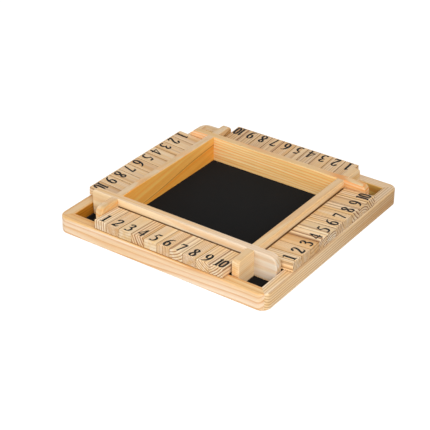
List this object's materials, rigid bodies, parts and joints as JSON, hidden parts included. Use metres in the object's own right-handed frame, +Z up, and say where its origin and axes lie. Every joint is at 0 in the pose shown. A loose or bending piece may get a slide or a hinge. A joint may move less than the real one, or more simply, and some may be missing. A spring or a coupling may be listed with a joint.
{
  "type": "shut the box game",
  "caption": "Square pine flip tile game tray with felt floor, mitred rails, raised crossed inner walls and a row of hinged number tiles on every side.",
  "frame": {"origin": "centre of the underside, on the table", "axes": "+X along the front rail to the right, +Y from the front rail to the back rail, +Z up"},
  "size_m": [0.22, 0.22, 0.03],
  "materials": {
    "rail_pine": "clear satin lacquer on pine",
    "wall_pine": "clear satin lacquer on pine",
    "tile_pine": "clear satin lacquer on pine, black printed numbers",
    "base_plywood": "sanded plywood",
    "black_felt": "matte wool felt",
    "rod_steel": "plain drawn rod",
    "screw_steel": "zinc plated"
  },
  "bodies": {
    "tray": {"rail_front": "rail_pine", "rail_right": "rail_pine", "rail_back": "rail_pine", "rail_left": "rail_pine", "base_board": "base_plywood", "felt_lining": "black_felt", "wall_front": "wall_pine", "wall_right": "wall_pine", "wall_back": "wall_pine", "wall_left": "wall_pine", "rod_front": "rod_steel", "rod_right": "rod_steel", "rod_back": "rod_steel", "rod_left": "rod_steel", "base_screws": "screw_steel"},
    "tile_front_01": {"tile_front_01": "tile_pine"},
    "tile_front_02": {"tile_front_02": "tile_pine"},
    "tile_front_03": {"tile_front_03": "tile_pine"},
    "tile_front_04": {"tile_front_04": "tile_pine"},
    "tile_front_05": {"tile_front_05": "tile_pine"},
    "tile_front_06": {"tile_front_06": "tile_pine"},
    "tile_front_07": {"tile_front_07": "tile_pine"},
    "tile_front_08": {"tile_front_08": "tile_pine"},
    "tile_front_09": {"tile_front_09": "tile_pine"},
    "tile_front_10": {"tile_front_10": "tile_pine"},
    "tile_right_01": {"tile_right_01": "tile_pine"},
    "tile_right_02": {"tile_right_02": "tile_pine"},
    "tile_right_03": {"tile_right_03": "tile_pine"},
    "tile_right_04": {"tile_right_04": "tile_pine"},
    "tile_right_05": {"tile_right_05": "tile_pine"},
    "tile_right_06": {"tile_right_06": "tile_pine"},
    "tile_right_07": {"tile_right_07": "tile_pine"},
    "tile_right_08": {"tile_right_08": "tile_pine"},
    "tile_right_09": {"tile_right_09": "tile_pine"},
    "tile_right_10": {"tile_right_10": "tile_pine"},
    "tile_back_01": {"tile_back_01": "tile_pine"},
    "tile_back_02": {"tile_back_02": "tile_pine"},
    "tile_back_03": {"tile_back_03": "tile_pine"},
    "tile_back_04": {"tile_back_04": "tile_pine"},
    "tile_back_05": {"tile_back_05": "tile_pine"},
    "tile_back_06": {"tile_back_06": "tile_pine"},
    "tile_back_07": {"tile_back_07": "tile_pine"},
    "tile_back_08": {"tile_back_08": "tile_pine"},
    "tile_back_09": {"tile_back_09": "tile_pine"},
    "tile_back_10": {"tile_back_10": "tile_pine"},
    "tile_left_01": {"tile_left_01": "tile_pine"},
    "tile_left_02": {"tile_left_02": "tile_pine"},
    "tile_left_03": {"tile_left_03": "tile_pine"},
    "tile_left_04": {"tile_left_04": "tile_pine"},
    "tile_left_05": {"tile_left_05": "tile_pine"},
    "tile_left_06": {"tile_left_06": "tile_pine"},
    "tile_left_07": {"tile_left_07": "tile_pine"},
    "tile_left_08": {"tile_left_08": "tile_pine"},
    "tile_left_09": {"tile_left_09": "tile_pine"},
    "tile_left_10": {"tile_left_10": "tile_pine"}
  },
  "joints": [
    {"name": "flip_front_01", "type": "hinge", "parent": "tray", "child": "tile_front_01", "pos_m": [0, -0.08548, 0.01951], "axis": [-1, 0, 0], "range_deg": [0, 110]},
    {"name": "flip_front_02", "type": "hinge", "parent": "tray", "child": "tile_front_02", "pos_m": [0, -0.08548, 0.01951], "axis": [-1, 0, 0], "range_deg": [0, 110]},
    {"name": "flip_front_03", "type": "hinge", "parent": "tray", "child": "tile_front_03", "pos_m": [0, -0.08548, 0.01951], "axis": [-1, 0, 0], "range_deg": [0, 110]},
    {"name": "flip_front_04", "type": "hinge", "parent": "tray", "child": "tile_front_04", "pos_m": [0, -0.08548, 0.01951], "axis": [-1, 0, 0], "range_deg": [0, 110]},
    {"name": "flip_front_05", "type": "hinge", "parent": "tray", "child": "tile_front_05", "pos_m": [0, -0.08548, 0.01951], "axis": [-1, 0, 0], "range_deg": [0, 110]},
    {"name": "flip_front_06", "type": "hinge", "parent": "tray", "child": "tile_front_06", "pos_m": [0, -0.08548, 0.01951], "axis": [-1, 0, 0], "range_deg": [0, 110]},
    {"name": "flip_front_07", "type": "hinge", "parent": "tray", "child": "tile_front_07", "pos_m": [0, -0.08548, 0.01951], "axis": [-1, 0, 0], "range_deg": [0, 110]},
    {"name": "flip_front_08", "type": "hinge", "parent": "tray", "child": "tile_front_08", "pos_m": [0, -0.08548, 0.01951], "axis": [-1, 0, 0], "range_deg": [0, 110]},
    {"name": "flip_front_09", "type": "hinge", "parent": "tray", "child": "tile_front_09", "pos_m": [0, -0.08548, 0.01951], "axis": [-1, 0, 0], "range_deg": [0, 110]},
    {"name": "flip_front_10", "type": "hinge", "parent": "tray", "child": "tile_front_10", "pos_m": [0, -0.08548, 0.01951], "axis": [-1, 0, 0], "range_deg": [0, 110]},
    {"name": "flip_right_01", "type": "hinge", "parent": "tray", "child": "tile_right_01", "pos_m": [0.08548, 0, 0.01951], "axis": [0, -1, 0], "range_deg": [0, 110]},
    {"name": "flip_right_02", "type": "hinge", "parent": "tray", "child": "tile_right_02", "pos_m": [0.08548, 0, 0.01951], "axis": [0, -1, 0], "range_deg": [0, 110]},
    {"name": "flip_right_03", "type": "hinge", "parent": "tray", "child": "tile_right_03", "pos_m": [0.08548, 0, 0.01951], "axis": [0, -1, 0], "range_deg": [0, 110]},
    {"name": "flip_right_04", "type": "hinge", "parent": "tray", "child": "tile_right_04", "pos_m": [0.08548, 0, 0.01951], "axis": [0, -1, 0], "range_deg": [0, 110]},
    {"name": "flip_right_05", "type": "hinge", "parent": "tray", "child": "tile_right_05", "pos_m": [0.08548, 0, 0.01951], "axis": [0, -1, 0], "range_deg": [0, 110]},
    {"name": "flip_right_06", "type": "hinge", "parent": "tray", "child": "tile_right_06", "pos_m": [0.08548, 0, 0.01951], "axis": [0, -1, 0], "range_deg": [0, 110]},
    {"name": "flip_right_07", "type": "hinge", "parent": "tray", "child": "tile_right_07", "pos_m": [0.08548, 0, 0.01951], "axis": [0, -1, 0], "range_deg": [0, 110]},
    {"name": "flip_right_08", "type": "hinge", "parent": "tray", "child": "tile_right_08", "pos_m": [0.08548, 0, 0.01951], "axis": [0, -1, 0], "range_deg": [0, 110]},
    {"name": "flip_right_09", "type": "hinge", "parent": "tray", "child": "tile_right_09", "pos_m": [0.08548, 0, 0.01951], "axis": [0, -1, 0], "range_deg": [0, 110]},
    {"name": "flip_right_10", "type": "hinge", "parent": "tray", "child": "tile_right_10", "pos_m": [0.08548, 0, 0.01951], "axis": [0, -1, 0], "range_deg": [0, 110]},
    {"name": "flip_back_01", "type": "hinge", "parent": "tray", "child": "tile_back_01", "pos_m": [0, 0.08548, 0.01951], "axis": [1, 0, 0], "range_deg": [0, 110]},
    {"name": "flip_back_02", "type": "hinge", "parent": "tray", "child": "tile_back_02", "pos_m": [0, 0.08548, 0.01951], "axis": [1, 0, 0], "range_deg": [0, 110]},
    {"name": "flip_back_03", "type": "hinge", "parent": "tray", "child": "tile_back_03", "pos_m": [0, 0.08548, 0.01951], "axis": [1, 0, 0], "range_deg": [0, 110]},
    {"name": "flip_back_04", "type": "hinge", "parent": "tray", "child": "tile_back_04", "pos_m": [0, 0.08548, 0.01951], "axis": [1, 0, 0], "range_deg": [0, 110]},
    {"name": "flip_back_05", "type": "hinge", "parent": "tray", "child": "tile_back_05", "pos_m": [0, 0.08548, 0.01951], "axis": [1, 0, 0], "range_deg": [0, 110]},
    {"name": "flip_back_06", "type": "hinge", "parent": "tray", "child": "tile_back_06", "pos_m": [0, 0.08548, 0.01951], "axis": [1, 0, 0], "range_deg": [0, 110]},
    {"name": "flip_back_07", "type": "hinge", "parent": "tray", "child": "tile_back_07", "pos_m": [0, 0.08548, 0.01951], "axis": [1, 0, 0], "range_deg": [0, 110]},
    {"name": "flip_back_08", "type": "hinge", "parent": "tray", "child": "tile_back_08", "pos_m": [0, 0.08548, 0.01951], "axis": [1, 0, 0], "range_deg": [0, 110]},
    {"name": "flip_back_09", "type": "hinge", "parent": "tray", "child": "tile_back_09", "pos_m": [0, 0.08548, 0.01951], "axis": [1, 0, 0], "range_deg": [0, 110]},
    {"name": "flip_back_10", "type": "hinge", "parent": "tray", "child": "tile_back_10", "pos_m": [0, 0.08548, 0.01951], "axis": [1, 0, 0], "range_deg": [0, 110]},
    {"name": "flip_left_01", "type": "hinge", "parent": "tray", "child": "tile_left_01", "pos_m": [-0.08548, 0, 0.01951], "axis": [0, 1, 0], "range_deg": [0, 110]},
    {"name": "flip_left_02", "type": "hinge", "parent": "tray", "child": "tile_left_02", "pos_m": [-0.08548, 0, 0.01951], "axis": [0, 1, 0], "range_deg": [0, 110]},
    {"name": "flip_left_03", "type": "hinge", "parent": "tray", "child": "tile_left_03", "pos_m": [-0.08548, 0, 0.01951], "axis": [0, 1, 0], "range_deg": [0, 110]},
    {"name": "flip_left_04", "type": "hinge", "parent": "tray", "child": "tile_left_04", "pos_m": [-0.08548, 0, 0.01951], "axis": [0, 1, 0], "range_deg": [0, 110]},
    {"name": "flip_left_05", "type": "hinge", "parent": "tray", "child": "tile_left_05", "pos_m": [-0.08548, 0, 0.01951], "axis": [0, 1, 0], "range_deg": [0, 110]},
    {"name": "flip_left_06", "type": "hinge", "parent": "tray", "child": "tile_left_06", "pos_m": [-0.08548, 0, 0.01951], "axis": [0, 1, 0], "range_deg": [0, 110]},
    {"name": "flip_left_07", "type": "hinge", "parent": "tray", "child": "tile_left_07", "pos_m": [-0.08548, 0, 0.01951], "axis": [0, 1, 0], "range_deg": [0, 110]},
    {"name": "flip_left_08", "type": "hinge", "parent": "tray", "child": "tile_left_08", "pos_m": [-0.08548, 0, 0.01951], "axis": [0, 1, 0], "range_deg": [0, 110]},
    {"name": "flip_left_09", "type": "hinge", "parent": "tray", "child": "tile_left_09", "pos_m": [-0.08548, 0, 0.01951], "axis": [0, 1, 0], "range_deg": [0, 110]},
    {"name": "flip_left_10", "type": "hinge", "parent": "tray", "child": "tile_left_10", "pos_m": [-0.08548, 0, 0.01951], "axis": [0, 1, 0], "range_deg": [0, 110]}
  ]
}
